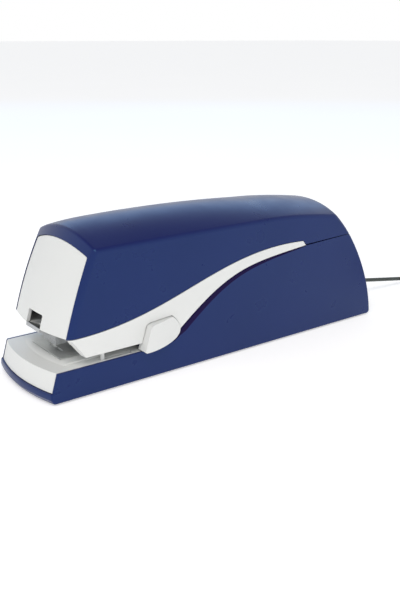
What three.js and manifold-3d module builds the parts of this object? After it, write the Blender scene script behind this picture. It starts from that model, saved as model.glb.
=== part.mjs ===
// An electric desk stapler with a front-loading staple drawer, in millimetres.
// +Z is up, the mouth faces -Y, the cord leaves at +Y, and x = 0 is the middle plane.
// The origin is on the table, under the middle of the stapler's own box, without its cord.
import * as THREE from 'three';
import { mergeVertices } from 'three/addons/utils/BufferGeometryUtils.js';
import Module from 'manifold-3d';

const wasm = await Module();
wasm.setup();

// ---------------------------------------------------------------- driving dimensions
const HALF_WIDTH = 34; // middle plane to a side wall's outside
const WALL = 2.2; // moulded housing walls
const INNER = HALF_WIDTH - WALL;
const GAP = 0.4; // joint line between two housings
const FLOOR_GAP = 1.2; // the housing's lower edge stands this high on its feet
const SLIVER = 0.01; // faces thinner than this are merged away

const CREASE_Z = 84.1; // edge between side wall and crown
const NOSE_Z = 36.4; // lower edge of the blue cover at the nose
const NOSE_Y = -115.4; // side corner of the nose at that height
const NOSE_LEAN = 0.405; // the front leans back this much for each mm of height
const NOSE_SWELL = 1.4; // the leaning front is slightly convex
const FRONT_BULGE = 5.4; // the front is this much further out in the middle plane
const CROWN_RISE = 10.9; // greatest height of the crown over the crease
const CROWN_LEAST = 7.8;
const CROWN_PEAK_Y = -40;
const CROWN_HALF_SPAN = 77;
const BROW = { y: -99, length: 22, drop: 1.6 }; // the crown dips towards the nose's upper edge
const REAR_BULGE = 1.6; // at the foot of the rear wall
const FRONT_ROUND = 3; // how far the front's rounded edges reach in from the side walls
const FRONT_TURN = { chin: 1.9, crown: 0.8 }; // depth of those edges, as a share of their reach
const REAR_ROUND = 1.2; // radius between rear wall and side walls
const CREASE_ROUND = 1.8; // radius between crown and side walls
const PANEL_SET_BACK = 0.5; // of the drawer's front panel, behind the cover around it
// The panel in front view: half widths below, above and at the shoulders of its arch, and heights.
const PANEL = { low: 31.6, high: 30, shoulder: 28.4, cornerZ: 79.2, shoulderZ: 80.3, archZ: 89.9 };
const MOUTH = { half: 8.6, top: 44.5 }; // the opening that a jam is cleared through

const TABLE_Z = 18.5; // top of the white base plate
const HEAD_Z = 23.9; // underside of the head, over the paper slot
const THROAT_Y = -64.6; // back wall of the paper slot
const DRIVER_Y = -106.2; // plane in which staples are driven
const DC_Z = 13; // height of the power inlet
const CHIN_BACK_Y = -102; // the hollow under the nose ends here
const CHEEK_X = 29; // and on either side here
const SHELF = { front: -112.8, low: 33.4, top: 35.6 }; // of the white band, under the nose
const CHIN_Y = -104.7; // where the band meets the underside of the head
const TRAY_BULGE = 5; // the tray's front is this much further out in the middle plane
const TRAY_ROUND = 0.9; // radius between the tray's front and its sides

// Side view of the seams, as [y, z] control points.
const COVER_EDGE = [[-115.4, 36.4], [-44.2, 35.2], [-13.3, 70.7], [60.1, 66.1]];
const BAND_EDGE = [[-38.9, 27.9], [-0.9, 58.2], [14.1, 58.2], [62.9, 62.7]];
const REAR_SEAM = [104.5, 64.6];
const CROWN_END = [91, 78.8];

// ---------------------------------------------------------------- colours and materials
const finish = (color, roughness, metalness = 0) =>
  new THREE.MeshStandardMaterial({ color, roughness, metalness });
const BLUE = finish('#2b3468', 0.45);
const WHITE = finish('#e4e6e2', 0.45);
const STEEL = finish('#9a9c9e', 0.38, 1);
const DARK_STEEL = finish('#6d6f72', 0.4, 1);
const BRASS = finish('#b89a55', 0.35, 1);
const NYLON = finish('#d8d4c4', 0.5);
const BLACK = finish('#1c1d1f', 0.55);
const RUBBER = finish('#26282a', 0.85);
const BOARD = finish('#2f5a3c', 0.6);
const CORD = finish('#3f4644', 0.6);

// ---------------------------------------------------------------- solids
const pieces = new THREE.Group();

/** A closed geometry as a solid that can be cut and joined. */
function solid(geometry) {
  const bare = geometry.index ? geometry.toNonIndexed() : geometry.clone();
  for (const name of Object.keys(bare.attributes)) {
    if (name !== 'position') bare.deleteAttribute(name);
  }
  const merged = mergeVertices(bare, 1e-4);
  return new wasm.Manifold(new wasm.Mesh({
    numProp: 3,
    vertProperties: merged.attributes.position.array,
    triVerts: new Uint32Array(merged.index.array),
  }));
}

/** A cut or joined solid as a geometry again, without the slivers that cuts leave. */
function geometryOf(cut) {
  const mesh = cut.simplify(SLIVER).getMesh();
  const geometry = new THREE.BufferGeometry();
  geometry.setAttribute('position', new THREE.BufferAttribute(new Float32Array(mesh.vertProperties), 3));
  geometry.setIndex(new THREE.BufferAttribute(new Uint32Array(mesh.triVerts), 1));
  geometry.computeVertexNormals();
  return geometry;
}

/** Adds one named piece to the stapler; a solid or a geometry, at a place of its own. */
function add(name, shape, material, position = [0, 0, 0]) {
  const geometry = shape.isBufferGeometry ? shape : geometryOf(shape);
  const mesh = new THREE.Mesh(geometry, material);
  mesh.name = name;
  mesh.position.set(...position);
  pieces.add(mesh);
}

/** A block between two corners. */
function block([x0, y0, z0], [x1, y1, z1]) {
  const geometry = new THREE.BoxGeometry(x1 - x0, y1 - y0, z1 - z0);
  geometry.translate((x0 + x1) / 2, (y0 + y1) / 2, (z0 + z1) / 2);
  return solid(geometry);
}

const shapeOf = (points) => new THREE.Shape(points.map(([u, v]) => new THREE.Vector2(u, v)));
const extruded = (shape, depth, curveSegments = 10) =>
  new THREE.ExtrudeGeometry(shape, { depth, bevelEnabled: false, curveSegments });

/** A side-view shape in y and z, pushed out along X. */
function plateX(shape, x0, x1) {
  const geometry = extruded(Array.isArray(shape) ? shapeOf(shape) : shape, x1 - x0);
  const axes = new THREE.Matrix4().makeBasis(
    new THREE.Vector3(0, 1, 0), new THREE.Vector3(0, 0, 1), new THREE.Vector3(1, 0, 0));
  geometry.applyMatrix4(axes).translate(x0, 0, 0);
  return solid(geometry);
}

/** A front-view shape in x and z, pushed out along Y. */
function plateY(shape, y0, y1) {
  const geometry = extruded(Array.isArray(shape) ? shapeOf(shape) : shape, y1 - y0);
  const axes = new THREE.Matrix4().makeBasis(
    new THREE.Vector3(1, 0, 0), new THREE.Vector3(0, 0, 1), new THREE.Vector3(0, -1, 0));
  geometry.applyMatrix4(axes).translate(0, y1, 0);
  return solid(geometry);
}

/** A plan-view shape in x and y, pushed up along Z. */
function plateZ(shape, z0, z1) {
  const geometry = extruded(Array.isArray(shape) ? shapeOf(shape) : shape, z1 - z0);
  return solid(geometry.translate(0, 0, z0));
}

/** A turned piece: profile of [radius, height along the axis], from the axis back to the axis. */
function turned(profile, axis = 'z', sides = 20) {
  const geometry = new THREE.LatheGeometry(profile.map(([r, h]) => new THREE.Vector2(r, h)), sides);
  if (axis === 'x') geometry.rotateZ(-Math.PI / 2);
  if (axis === 'z') geometry.rotateX(Math.PI / 2);
  return solid(geometry);
}

/** A plain rod along an axis, from its start, at [x, y, z]. */
function rod(radius, length, axis, position = [0, 0, 0], sides = 20) {
  return turned([[0, 0], [radius, 0], [radius, length], [0, length]], axis, sides).translate(position);
}

const mirrored = (shape) => shape.mirror([1, 0, 0]);

/** Skin over cross-sections that all have the same number of points, one for each x. */
function loft(stations, sectionAt) {
  const sections = stations.map((x) => {
    const section = sectionAt(x);
    const clockwise = THREE.ShapeUtils.isClockWise(section.map(([y, z]) => new THREE.Vector2(y, z)));
    return (clockwise ? section : section.reverse()).map(([y, z]) => [x, y, z]);
  });
  const count = sections[0].length;
  const triangles = [];
  for (let i = 0; i + 1 < sections.length; i += 1) {
    for (let j = 0; j < count; j += 1) {
      const k = (j + 1) % count;
      const [a, b, c, d] = [sections[i][j], sections[i + 1][j], sections[i + 1][k], sections[i][k]];
      triangles.push(a, b, c, a, c, d);
    }
  }
  for (const [section, flip] of [[sections[0], false], [sections.at(-1), true]]) {
    const flat = section.map(([, y, z]) => new THREE.Vector2(y, z));
    for (const face of THREE.ShapeUtils.triangulateShape(flat, [])) {
      const corners = face.map((index) => section[index]);
      triangles.push(...(flip ? corners : corners.reverse()));
    }
  }
  const geometry = new THREE.BufferGeometry();
  geometry.setAttribute('position', new THREE.Float32BufferAttribute(triangles.flat(), 3));
  return solid(geometry);
}

// ---------------------------------------------------------------- the body's outer surface
const bezier = (points) => new THREE.CubicBezierCurve(...points.map(([y, z]) => new THREE.Vector2(y, z)));
const pointsOn = (points, count) => bezier(points).getPoints(count).map((p) => [p.x, p.y]);

/** 1 in the middle plane and 0 at the side walls. */
const swell = (x) => 1 - (x / HALF_WIDTH) ** 2;

/** How far an edge of this radius has turned inwards at x. */
function rounding(x, radius) {
  const past = Math.max(0, Math.abs(x) - (HALF_WIDTH - radius));
  return radius - Math.sqrt(Math.max(0, radius ** 2 - past ** 2));
}

/** Front of the nose in side view: leaning back and slightly convex. */
function noseY(z) {
  const middle = (NOSE_Z + CREASE_Z) / 2;
  const half = (CREASE_Z - NOSE_Z) / 2;
  return NOSE_Y + NOSE_LEAN * (z - NOSE_Z) - NOSE_SWELL * (1 - ((z - middle) / half) ** 2);
}

/** How far the front's edge has turned back at x, deeper at the chin than at the crown. */
function frontTurn(x, z) {
  const share = Math.min(1, Math.max(0, (z - NOSE_Z) / (CREASE_Z - NOSE_Z)));
  return rounding(x, FRONT_ROUND) * THREE.MathUtils.lerp(FRONT_TURN.chin, FRONT_TURN.crown, share);
}

/** Height of the crown over the crease in the middle plane. */
function crownRise(y) {
  const fall = (CROWN_RISE - CROWN_LEAST) * ((y - CROWN_PEAK_Y) / CROWN_HALF_SPAN) ** 2;
  const dip = BROW.drop * Math.max(0, 1 - (y - BROW.y) / BROW.length) ** 2;
  return Math.max(CROWN_LEAST, CROWN_RISE - fall) - dip;
}
const NOSE_RISE = crownRise(BROW.y);

/** The crease from the nose to the back and down the rear wall, with its outward normals. */
function spine() {
  const level = [[-88, CREASE_Z], [-60, CREASE_Z], [-28, CREASE_Z], [4, CREASE_Z]];
  const fall = pointsOn([[32, CREASE_Z], [52, CREASE_Z], [75, 81.2], CROWN_END], 4);
  const rear = pointsOn([CROWN_END, [112, 60.5], [130.6, 26], [131.6, -2]], 9).slice(1);
  const points = [...level, ...fall, ...rear];
  return points.map(([y, z], i) => {
    const [y0, z0] = points[Math.max(0, i - 1)];
    const [y1, z1] = points[Math.min(points.length - 1, i + 1)];
    const length = Math.hypot(y1 - y0, z1 - z0);
    return { y, z, ny: -(z1 - z0) / length, nz: (y1 - y0) / length };
  });
}

/** Side view of the body at x, drawn in by a wall's thickness for its inside. */
function bodySection(x, inset) {
  const bulge = swell(x);
  const crown = CREASE_Z + NOSE_RISE * bulge - inset - rounding(x, CREASE_ROUND);
  const front = [];
  for (let i = 0; i <= 6; i += 1) {
    const z = HEAD_Z + ((crown - HEAD_Z) * i) / 6;
    front.push([noseY(z) - FRONT_BULGE * bulge + inset + frontTurn(x, z), z]);
  }
  const rest = spine().map(({ y, z, ny, nz }) => {
    const onCrown = z > CROWN_END[1] - 1;
    const rise = onCrown ? crownRise(y) : REAR_BULGE + ((CROWN_LEAST - REAR_BULGE) * z) / CROWN_END[1];
    const out = rise * bulge - inset - rounding(x, onCrown ? CREASE_ROUND : REAR_ROUND);
    return [y + ny * out, z + nz * out];
  });
  const throat = THROAT_Y + inset;
  return [...front, ...rest, [REAR_SEAM[0], -2], [throat, -2], [throat, HEAD_Z]];
}

/** Stations across the body, close together where the edges turn. */
function across(half) {
  const right = [8, 16, 24, half - FRONT_ROUND, half - 1.7, half - 0.7, half - 0.15, half];
  return [...right.map((x) => -x).reverse(), 0, ...right];
}

const body = (inset) =>
  loft(across(HALF_WIDTH - inset), (x) => bodySection((x * HALF_WIDTH) / (HALF_WIDTH - inset), inset));

// ---------------------------------------------------------------- seams in side view
const coverEdge = pointsOn(COVER_EDGE, 14);
const bandEdge = pointsOn(BAND_EDGE, 12);
const raised = (points, dz) => points.map(([y, z]) => [y, z + dz]);
const FAR = 160;

const aboveCoverEdge = [
  [-FAR, NOSE_Z], ...coverEdge, [BAND_EDGE[3][0], 63.2], REAR_SEAM, [FAR, REAR_SEAM[1]],
  [FAR, FAR], [-FAR, FAR],
];
const betweenSeams = [
  ...raised(coverEdge, -GAP), [BAND_EDGE[3][0] - 0.6, 63.1], ...raised(bandEdge, 0).reverse(),
  [-44, HEAD_Z], [CHIN_Y, HEAD_Z], [SHELF.front, 35],
];
const belowBand = [
  [THROAT_Y, -FAR], [FAR, -FAR], [FAR, REAR_SEAM[1] - GAP], [REAR_SEAM[0], REAR_SEAM[1] - GAP],
  ...raised(bandEdge, -GAP).reverse(), [-44, HEAD_Z - GAP], [THROAT_Y, HEAD_Z - GAP],
];

/** Outline of a side grip, in side view, grown by a margin. */
function gripOutline(margin) {
  const shape = new THREE.Shape();
  const m = margin;
  shape.moveTo(-68.6 - m, 19.6 - m);
  shape.lineTo(-64.2 - m, 32.8 + m);
  shape.quadraticCurveTo(-63.6 - m, 34.4 + m, -61.5, 34.9 + m);
  shape.lineTo(-46.5 + m / 2, 36.1 + m);
  shape.bezierCurveTo(-41.5 + m, 32.5, -37.4 + m, 26 - m, -43.5 + m, 22.3 - m);
  shape.bezierCurveTo(-49, 19.5 - m, -59, 18.4 - m, -67.6 - m, 18.9 - m);
  return shape;
}
const gripHole = plateX(gripOutline(0.5), 28, 45);

/** Front view of the drawer's panel, grown by a margin: narrower at its arched top, with small corners. */
function panelOutline(margin, low) {
  const wide = PANEL.low + margin;
  const half = PANEL.high + margin;
  const shoulder = [PANEL.shoulder + margin, PANEL.shoulderZ + margin];
  const shape = new THREE.Shape();
  shape.moveTo(-wide, low);
  shape.lineTo(wide, low);
  shape.lineTo(wide, 40);
  shape.quadraticCurveTo(wide, 62, half, PANEL.cornerZ);
  shape.quadraticCurveTo(half - 0.3, 80 + margin, ...shoulder);
  shape.quadraticCurveTo(0, PANEL.archZ + margin, -shoulder[0], shoulder[1]);
  shape.quadraticCurveTo(0.3 - half, 80 + margin, -half, PANEL.cornerZ);
  shape.quadraticCurveTo(-wide, 62, -wide, 40);
  return shape;
}

// ---------------------------------------------------------------- housings
function topCover() {
  return body(0)
    .subtract(body(WALL))
    .intersect(plateX(aboveCoverEdge, -FAR, FAR))
    .subtract(plateY(panelOutline(GAP, 20), -FAR, -80));
}

/** The white band: two sides that run back as a taper, the hollow chin and the floor of the head. */
function midFrame() {
  const sides = body(0).subtract(body(WALL)).intersect(plateX(betweenSeams, -FAR, FAR));
  const half = HALF_WIDTH - GAP;
  const shelf = loft([-half, -24, -12, 0, 12, 24, half], (x) => {
    const front = SHELF.front - FRONT_BULGE * swell(x);
    return [[front, SHELF.top], [front + 4, SHELF.low], [CHIN_BACK_Y, SHELF.low], [CHIN_BACK_Y, SHELF.top]];
  });
  const cheek = loft([CHEEK_X, half], (x) => {
    const bulge = FRONT_BULGE * swell(x);
    const front = [[SHELF.front - bulge, SHELF.top], [CHIN_Y - bulge / 2, HEAD_Z]];
    return [...front, [CHIN_BACK_Y, HEAD_Z], [CHIN_BACK_Y, SHELF.top]];
  });
  const back = block([-33, CHIN_BACK_Y - 0.5, HEAD_Z], [33, CHIN_BACK_Y + 1.5, SHELF.top]);
  const floor = block([-33, CHIN_BACK_Y - 0.5, HEAD_Z], [33, -56, HEAD_Z + 2]);
  const bridge = block([-10.4, CHIN_BACK_Y + 0.1, 34.6], [10.4, -96, SHELF.top]); // over the drawer
  const drawerSlot = block([-9.2, -FAR, HEAD_Z], [9.2, -40, 60]);
  return sides.add(shelf).add(cheek).add(mirrored(cheek)).add(back).add(floor)
    .subtract(drawerSlot).add(bridge).subtract(gripHole).subtract(mirrored(gripHole));
}

/** Side view of the tray under the base plate, with its protruding lip; its inside is open below. */
function traySection(x, inset) {
  const bulge = TRAY_BULGE * swell(x) - inset - rounding(x, TRAY_ROUND);
  return [
    [-125.6 - bulge, FLOOR_GAP - inset], [-127.6 - bulge, 3.8], [-127 - bulge, 6.9], [-125.9 - bulge, 7.3],
    [-122.4 - bulge * 1.16, TABLE_Z], [THROAT_Y + 1, TABLE_Z], [THROAT_Y + 1, FLOOR_GAP - inset],
  ];
}

const SCREW_X = 27.4;
const SCREW_PLACES = [[-SCREW_X, -38], [SCREW_X, -38], [-SCREW_X, 100], [SCREW_X, 100]];

function lowerHousing() {
  const table = block([-FAR, -FAR, FLOOR_GAP], [FAR, FAR, FAR]);
  const tray = loft(across(HALF_WIDTH), (x) => traySection(x, 0));
  const trayInside = loft(across(INNER), (x) => traySection(x, WALL))
    .intersect(block([-FAR, -FAR, -FAR], [FAR, THROAT_Y, FAR]));
  const plateSeat = block([-32.7, -FAR, 7.1], [32.7, THROAT_Y, FAR]);
  const rear = body(0).intersect(plateX(belowBand, -FAR, FAR)).intersect(table);
  const rearInside = body(WALL).intersect(block([-FAR, THROAT_Y + WALL, -FAR], [FAR, FAR, FAR]));
  const beamGate = block([-15, THROAT_Y - 1, -FAR], [15, THROAT_Y + WALL + 1, 10]);
  const coverGate = block([-INNER, THROAT_Y - 1, -FAR], [INNER, THROAT_Y + WALL + 1, 4.1]);
  const triggerGate = block([19.4, THROAT_Y - 1, 18.8], [23.6, THROAT_Y + WALL + 1, 23.1]);
  const inlet = rod(5, 20, 'y', [0, 122, DC_Z]);
  let made = tray.add(rear).subtract(trayInside).subtract(plateSeat).subtract(rearInside)
    .subtract(beamGate).subtract(coverGate).subtract(triggerGate).subtract(inlet)
    .subtract(gripHole).subtract(mirrored(gripHole));
  for (const [x, y] of SCREW_PLACES) {
    const boss = rod(4.6, 14, 'z', [x, y, 4.4]).subtract(rod(1.8, 12, 'z', [x, y, 4]));
    made = made.add(boss);
  }
  return made;
}

function bottomCover() {
  const half = INNER - GAP;
  const outline = new THREE.Shape();
  outline.moveTo(-half, -122.6);
  outline.quadraticCurveTo(0, -131.6, half, -122.6);
  outline.lineTo(half, 126.4);
  outline.quadraticCurveTo(0, 131.4, -half, 126.4);
  let made = plateZ(outline, 1.7, 3.7);
  for (const [x, y] of SCREW_PLACES) {
    made = made.subtract(rod(3.2, 4, 'z', [x, y, 0]));
  }
  return made;
}

function addHousings() {
  add('top_cover', topCover(), BLUE);
  add('mid_frame', midFrame(), WHITE);
  add('lower_housing', lowerHousing(), BLUE);
  add('bottom_cover', bottomCover(), BLACK);
  const corners = {
    front_left: [-23, -108], front_right: [23, -108], rear_left: [-23, 112], rear_right: [23, 112],
  };
  const foot = [[0, 0], [6, 0], [6.4, 0.4], [6, 1.4], [0, 1.4]];
  for (const [corner, [x, y]] of Object.entries(corners)) {
    add(`foot_${corner}`, turned(foot, 'z'), RUBBER, [x, y, 0]);
  }
  const screw = [[0, 0], [2.8, 0], [2.8, 1.4], [1.4, 1.6], [1.4, 12], [0, 12]];
  SCREW_PLACES.forEach(([x, y], i) => {
    add(`housing_screw_${i + 1}`, turned(screw, 'z', 12), STEEL, [x, y, 1.9]);
  });
}

// ---------------------------------------------------------------- the paper table
const ANVIL = { half: 17.6, front: -112.6, back: -92, top: 19.7 };
const PAD_HALF = 25; // half the width of the raised pad round the anvil

function basePlate() {
  const half = 32.4;
  const stations = [-half, -24, -12, 0, 12, 24, half];
  const plate = loft(stations, (x) => {
    const bulge = TRAY_BULGE * swell(x);
    return [
      [-122.2 - bulge * 1.16, TABLE_Z], [-125.6 - bulge, 7.4], [-123.7 - bulge, 7.4],
      [-120.3 - bulge * 1.16, TABLE_Z - 2], [THROAT_Y - GAP, TABLE_Z - 2], [THROAT_Y - GAP, TABLE_Z],
    ];
  });
  const pad = loft([-PAD_HALF, -12, 0, 12, PAD_HALF], (x) => {
    const y = -115.2 - 4 * (1 - (x / PAD_HALF) ** 2);
    return [[y, TABLE_Z - 0.5], [y + 1, TABLE_Z + 0.9], [-90, TABLE_Z + 0.9], [-88, TABLE_Z - 0.5]];
  });
  const anvilHole = block([-18, -113, 0], [18, -91.6, 40]);
  const slot = block([28.3, -93.6, 0], [30.9, -72.6, 40]);
  return plate.add(pad).subtract(anvilHole).subtract(slot).subtract(mirrored(slot));
}

function anvil() {
  const { half, front, back, top } = ANVIL;
  const groove = block([0.8, DRIVER_Y - 1, top - 0.7], [6.6, DRIVER_Y + 1, top + 1]);
  return block([-half, front, 17.2], [half, back, top]).subtract(groove).subtract(mirrored(groove));
}

function paperStop() {
  const post = block([28.7, -93.2, 13.8], [30.5, -91, 23.5]);
  return block([-30.5, -95.8, 13.8], [30.5, -90.4, 16]).add(post).add(mirrored(post));
}

function addPaperTable() {
  add('base_plate', basePlate(), WHITE);
  add('anvil', anvil(), STEEL);
  const pedestal = block([-16, -112, 8.5], [16, -97.2, 16.9]);
  add('anvil_beam', block([-14, -113, 5], [14, 20, 9]).add(pedestal), DARK_STEEL);
  add('paper_stop', paperStop(), WHITE);
  const lever = block([20, -59, 15], [23, -57, 22.7]);
  add('paper_trigger', block([20, -69, 19.3], [23, -58, 22.7]).add(lever), BLACK);
  const switchBody = block([18.5, -51.5, 12], [24.5, -45, 22]);
  add('trigger_switch', switchBody, BLACK);
}

// ---------------------------------------------------------------- the staple drawer
function frontPanel() {
  const mouth = block([-MOUTH.half, -FAR, 20], [MOUTH.half, -80, MOUTH.top]);
  return body(PANEL_SET_BACK)
    .subtract(body(PANEL_SET_BACK + WALL))
    .intersect(plateY(panelOutline(0, NOSE_Z + 0.1), -FAR, -84))
    .subtract(mouth);
}

/** Sheet-metal channel that holds the staples, with the slot that they leave through. */
function magazineChannel() {
  const outside = block([-7.8, -107, 24.6], [7.8, -30, 34.1]);
  const inside = block([-6.9, -FAR, 25.4], [6.9, -31, 40]);
  const exit = block([-6.9, -FAR, 20], [6.9, -105.2, 40]);
  return outside.subtract(inside).subtract(exit);
}

/** Steel nose in front of the staples, with the sloping lip under the mouth. */
function magazineNose() {
  const lip = [
    [-118.8, 36.5], [-109.2, 31.8], [-109.2, 24.6], [-110.4, 24.6], [-110.4, 30.2],
    [-120.4, 34.6], [-120, 37],
  ];
  const face = block([-8.3, -109.2, 24.6], [8.3, -107.4, 35.4]);
  return plateX(lip, -8.3, 8.3).add(face);
}

/** An upside-down channel that rides on the staple rail. */
const saddle = (y0, y1, low, top) =>
  block([-6.5, y0, low], [6.5, y1, top]).subtract(block([-5.7, -FAR, 0], [5.7, FAR, 31.8]));

function addDrawer() {
  add('front_panel', frontPanel(), WHITE);
  add('magazine_channel', magazineChannel(), STEEL);
  add('magazine_nose', magazineNose(), STEEL);
  add('staple_rail', block([-5.3, -105.3, 25.8], [5.3, -31.5, 31.4]), DARK_STEEL);
  add('staple_strip', saddle(-105.3, -70, 26.2, 32.5), STEEL);
  add('staple_pusher', saddle(-69.5, -61.5, 25.9, 33.8), BLACK);
  add('pusher_spring', rod(1.1, 29.4, 'y', [0, -61.1, 33], 12), STEEL);
}

// ---------------------------------------------------------------- the release grips
/** A grip: proud of the side wall at its front, flush with it at its rear, with a stem and flange inside. */
function releaseGrip() {
  const face = plateZ([[31, -75], [39, -75], [39, -65.5], [34.6, -42], [34.4, -30], [31, -30]], 0, 60);
  const button = plateX(gripOutline(0), 31, 45).intersect(face);
  const flange = block([29.9, -55.5, 21.5], [31.2, -44.5, 35]);
  const stem = block([16, -54, 27.5], [30.5, -50, 31.5]);
  return button.add(flange).add(stem);
}

function addReleases() {
  const spring = rod(1.8, 16.8, 'x', [12.7, -47, 29.5], 12);
  add('release_grip_right', releaseGrip(), WHITE);
  add('release_grip_left', mirrored(releaseGrip()), WHITE);
  add('release_spring_right', spring, STEEL);
  add('release_spring_left', mirrored(spring), STEEL);
}

// ---------------------------------------------------------------- the drive
const CHEEK = { inside: 11, outside: 12.2 };
const PIVOT = [8, 50.2]; // the rocker's pivot, as [y, z]
const CAM = [-10, 68]; // the cam shaft
const ROLLER = [-10, 51.8]; // the roller under the cam
const SPRING_PIN = [-40, 72.5]; // the return spring hangs from it
const MODULE = 1;
const TEETH = { cam: 34, idlerSmall: 12, idlerBig: 34, pinion: 10 };
const pitchRadius = (teeth) => (teeth * MODULE) / 2;
const CAM_TO_IDLER = THREE.MathUtils.degToRad(-20); // directions between gear centres
const IDLER_TO_MOTOR = THREE.MathUtils.degToRad(-25);
const stepFrom = ([y, z], distance, angle) =>
  [y + distance * Math.cos(angle), z + distance * Math.sin(angle)];
const IDLER = stepFrom(CAM, pitchRadius(TEETH.cam) + pitchRadius(TEETH.idlerSmall), CAM_TO_IDLER);
const MOTOR = stepFrom(IDLER, pitchRadius(TEETH.idlerBig) + pitchRadius(TEETH.pinion), IDLER_TO_MOTOR);
const MOTOR_RADIUS = 14;

/** A spur gear about X, with one tooth centred at the given angle. */
function gear(teeth, width, bore, toothAngle) {
  const shape = new THREE.Shape();
  const pitch = (2 * Math.PI) / teeth;
  const tip = pitchRadius(teeth) + 0.75 * MODULE;
  const root = pitchRadius(teeth) - 1.05 * MODULE;
  for (let i = 0; i < teeth; i += 1) {
    const middle = toothAngle + i * pitch;
    const corners = [[root, -0.3], [tip, -0.12], [tip, 0.12], [root, 0.3]];
    for (const [radius, turn] of corners) {
      const angle = middle + turn * pitch;
      const point = [radius * Math.cos(angle), radius * Math.sin(angle)];
      if (i === 0 && radius === root && turn < 0) shape.moveTo(...point);
      else shape.lineTo(...point);
    }
  }
  shape.closePath();
  if (bore > 0) {
    const hole = new THREE.Path();
    hole.absarc(0, 0, bore, 0, 2 * Math.PI, true);
    shape.holes.push(hole);
  }
  return plateX(shape, 0, width);
}

function chassis() {
  const outline = (rear) => [
    [-100, 26.4], [-54, 26.4], [-54, 9.4], [12, 9.4], ...rear, [3, 76], [-45, 76], [-70, 60], [-100, 60],
  ];
  const right = plateX(outline([[13, 26.4], [50, 28], [50, 70], [22, 76]]), CHEEK.inside, CHEEK.outside);
  const left = plateX(outline([[14, 26.4], [14, 60]]), -CHEEK.outside, -CHEEK.inside);
  const floor = block([-11.5, -22, 27], [11.5, 10, 28.5]);
  const tie = block([-11.5, -98, 58.5], [11.5, -76, 59.8]);
  const bores = [[PIVOT, 2.3], [CAM, 2.8], [IDLER, 2.3], [MOTOR, 4], [SPRING_PIN, 1.8]];
  let made = left.add(right).add(floor).add(tie);
  for (const [[y, z], radius] of bores) {
    made = made.subtract(rod(radius, 40, 'x', [-20, y, z]));
  }
  return made;
}

/** The rocker: a pressed channel with a tongue that lifts and lowers the driver. */
function rockerArm() {
  const shape = new THREE.Shape();
  shape.moveTo(-101.5, 46);
  shape.lineTo(PIVOT[0], 46);
  shape.absarc(PIVOT[0], PIVOT[1], 4.2, -Math.PI / 2, Math.PI / 2, false);
  shape.lineTo(-101.5, 54.4);
  const arm = plateX(shape, -7.5, 7.5);
  const trough = block([-5.9, -98, 47.4], [5.9, 1, 60]);
  const tongue = block([-3, -105.4, 49.2], [3, -101, 51.2]);
  return arm.subtract(trough).add(tongue)
    .subtract(rod(2.3, 40, 'x', [-20, ...PIVOT]))
    .subtract(rod(1.8, 40, 'x', [-20, ...ROLLER]));
}

function driverHolder() {
  const window = block([-3.6, -106, 46.8], [3.6, -100, 53.8]);
  return block([-7, -107, 45.5], [7, -102.4, 57]).subtract(window);
}

function addDrive() {
  add('chassis', chassis(), STEEL);
  add('rocker_axle', rod(2, 26.4, 'x', [-13.2, ...PIVOT]), STEEL);
  add('spring_anchor_pin', rod(1.5, 26.4, 'x', [-13.2, ...SPRING_PIN], 12), STEEL);
  add('return_spring', rod(2.4, 15, 'z', [0, SPRING_PIN[0], 55.2], 12), STEEL);

  add('rocker_arm', rockerArm(), DARK_STEEL);
  add('cam_roller', rod(4, 10.6, 'x', [-5.3, ...ROLLER]).subtract(rod(1.9, 40, 'x', [-20, ...ROLLER])), NYLON);
  add('roller_pin', rod(1.5, 16, 'x', [-8, ...ROLLER], 12), STEEL);

  add('driver_holder', driverHolder(), BLACK);
  add('driver_blade', block([-6.3, DRIVER_Y - 0.4, 35], [6.3, DRIVER_Y + 0.4, 45.1]), STEEL);

  const cam = rod(6.5, 9, 'x', [-4.5, CAM[0], CAM[1] + 4.4], 28);
  add('cam_shaft', rod(2.5, 32.4, 'x', [-13.2, ...CAM]).add(cam), DARK_STEEL);
  add('cam_gear', gear(TEETH.cam, 4, 2.8, CAM_TO_IDLER), NYLON, [13.5, ...CAM]);

  const small = gear(TEETH.idlerSmall, 5, 2.3, CAM_TO_IDLER + Math.PI + Math.PI / TEETH.idlerSmall);
  const big = gear(TEETH.idlerBig, 3, 2.3, IDLER_TO_MOTOR).translate([4.6, 0, 0]);
  add('idler_gear', small.add(big), NYLON, [13.5, ...IDLER]);
  add('idler_axle', rod(2, 12.2, 'x', [10.4, ...IDLER]), STEEL);

  const pinion = gear(TEETH.pinion, 4, 0, IDLER_TO_MOTOR + Math.PI + Math.PI / TEETH.pinion);
  const shaft = rod(1.3, 11.4, 'x', [-7.4, 0, 0], 12);
  add('motor_pinion', pinion.add(shaft), BRASS, [18.3, ...MOTOR]);
  const can = [[0, 0], [11, 0], [MOTOR_RADIUS, 2], [MOTOR_RADIUS, 36], [5, 36], [5, 37.4], [0, 37.4]];
  add('motor_can', turned(can, 'x', 28), STEEL, [-27, ...MOTOR]);
  const cap = [[0, 0], [6, 0], [12.6, 1.4], [12.6, 3.2], [0, 3.2]];
  add('motor_end_cap', turned(cap, 'x', 24), BLACK, [-30.6, ...MOTOR]);
}

// ---------------------------------------------------------------- electrics
function addElectrics() {
  add('circuit_board', block([-22, 62, 6.4], [22, 128, 8]), BOARD);
  add('capacitor', rod(6, 16, 'z', [-12, 76, 8.3]), BLACK);
  add('relay', block([4, 70, 8.3], [19, 90, 22]), BLACK);
  add('home_switch', block([12.6, -52, 58], [18.6, -34, 68]), BLACK);
  const socket = block([-6, 115, 8.3], [6, 128.2, 18]).subtract(rod(3.1, 20, 'y', [0, 121.4, DC_Z]));
  add('dc_socket', socket, BLACK);
}

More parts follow.
